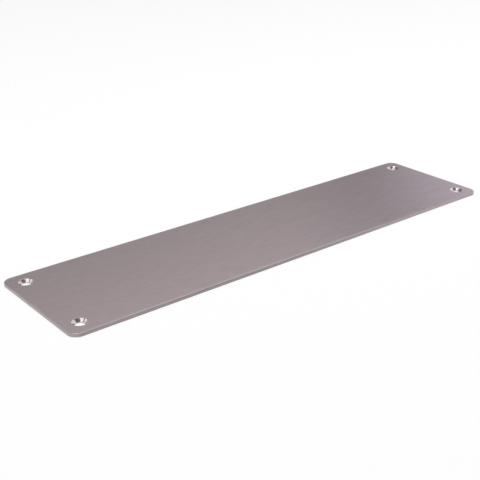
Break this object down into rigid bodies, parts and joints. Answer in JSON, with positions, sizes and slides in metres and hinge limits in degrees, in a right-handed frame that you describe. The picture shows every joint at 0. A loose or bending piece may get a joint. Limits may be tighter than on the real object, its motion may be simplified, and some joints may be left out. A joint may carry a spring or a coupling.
{
  "type": "door finger plate",
  "caption": "Flat rectangular brushed steel plate with rounded corners and countersunk corner screw holes, fixed to a door face to take finger marks.",
  "frame": {"origin": "middle of the back face, which lies on the door or on a surface", "axes": "+X along the plate's length, +Y across its width, +Z out of the brushed front face"},
  "size_m": [0.3, 0.075, 0.002],
  "materials": {
    "brushed_plate": "satin brushed along its length"
  },
  "bodies": {
    "root": {"finger_plate": "brushed_plate"}
  },
  "joints": []
}
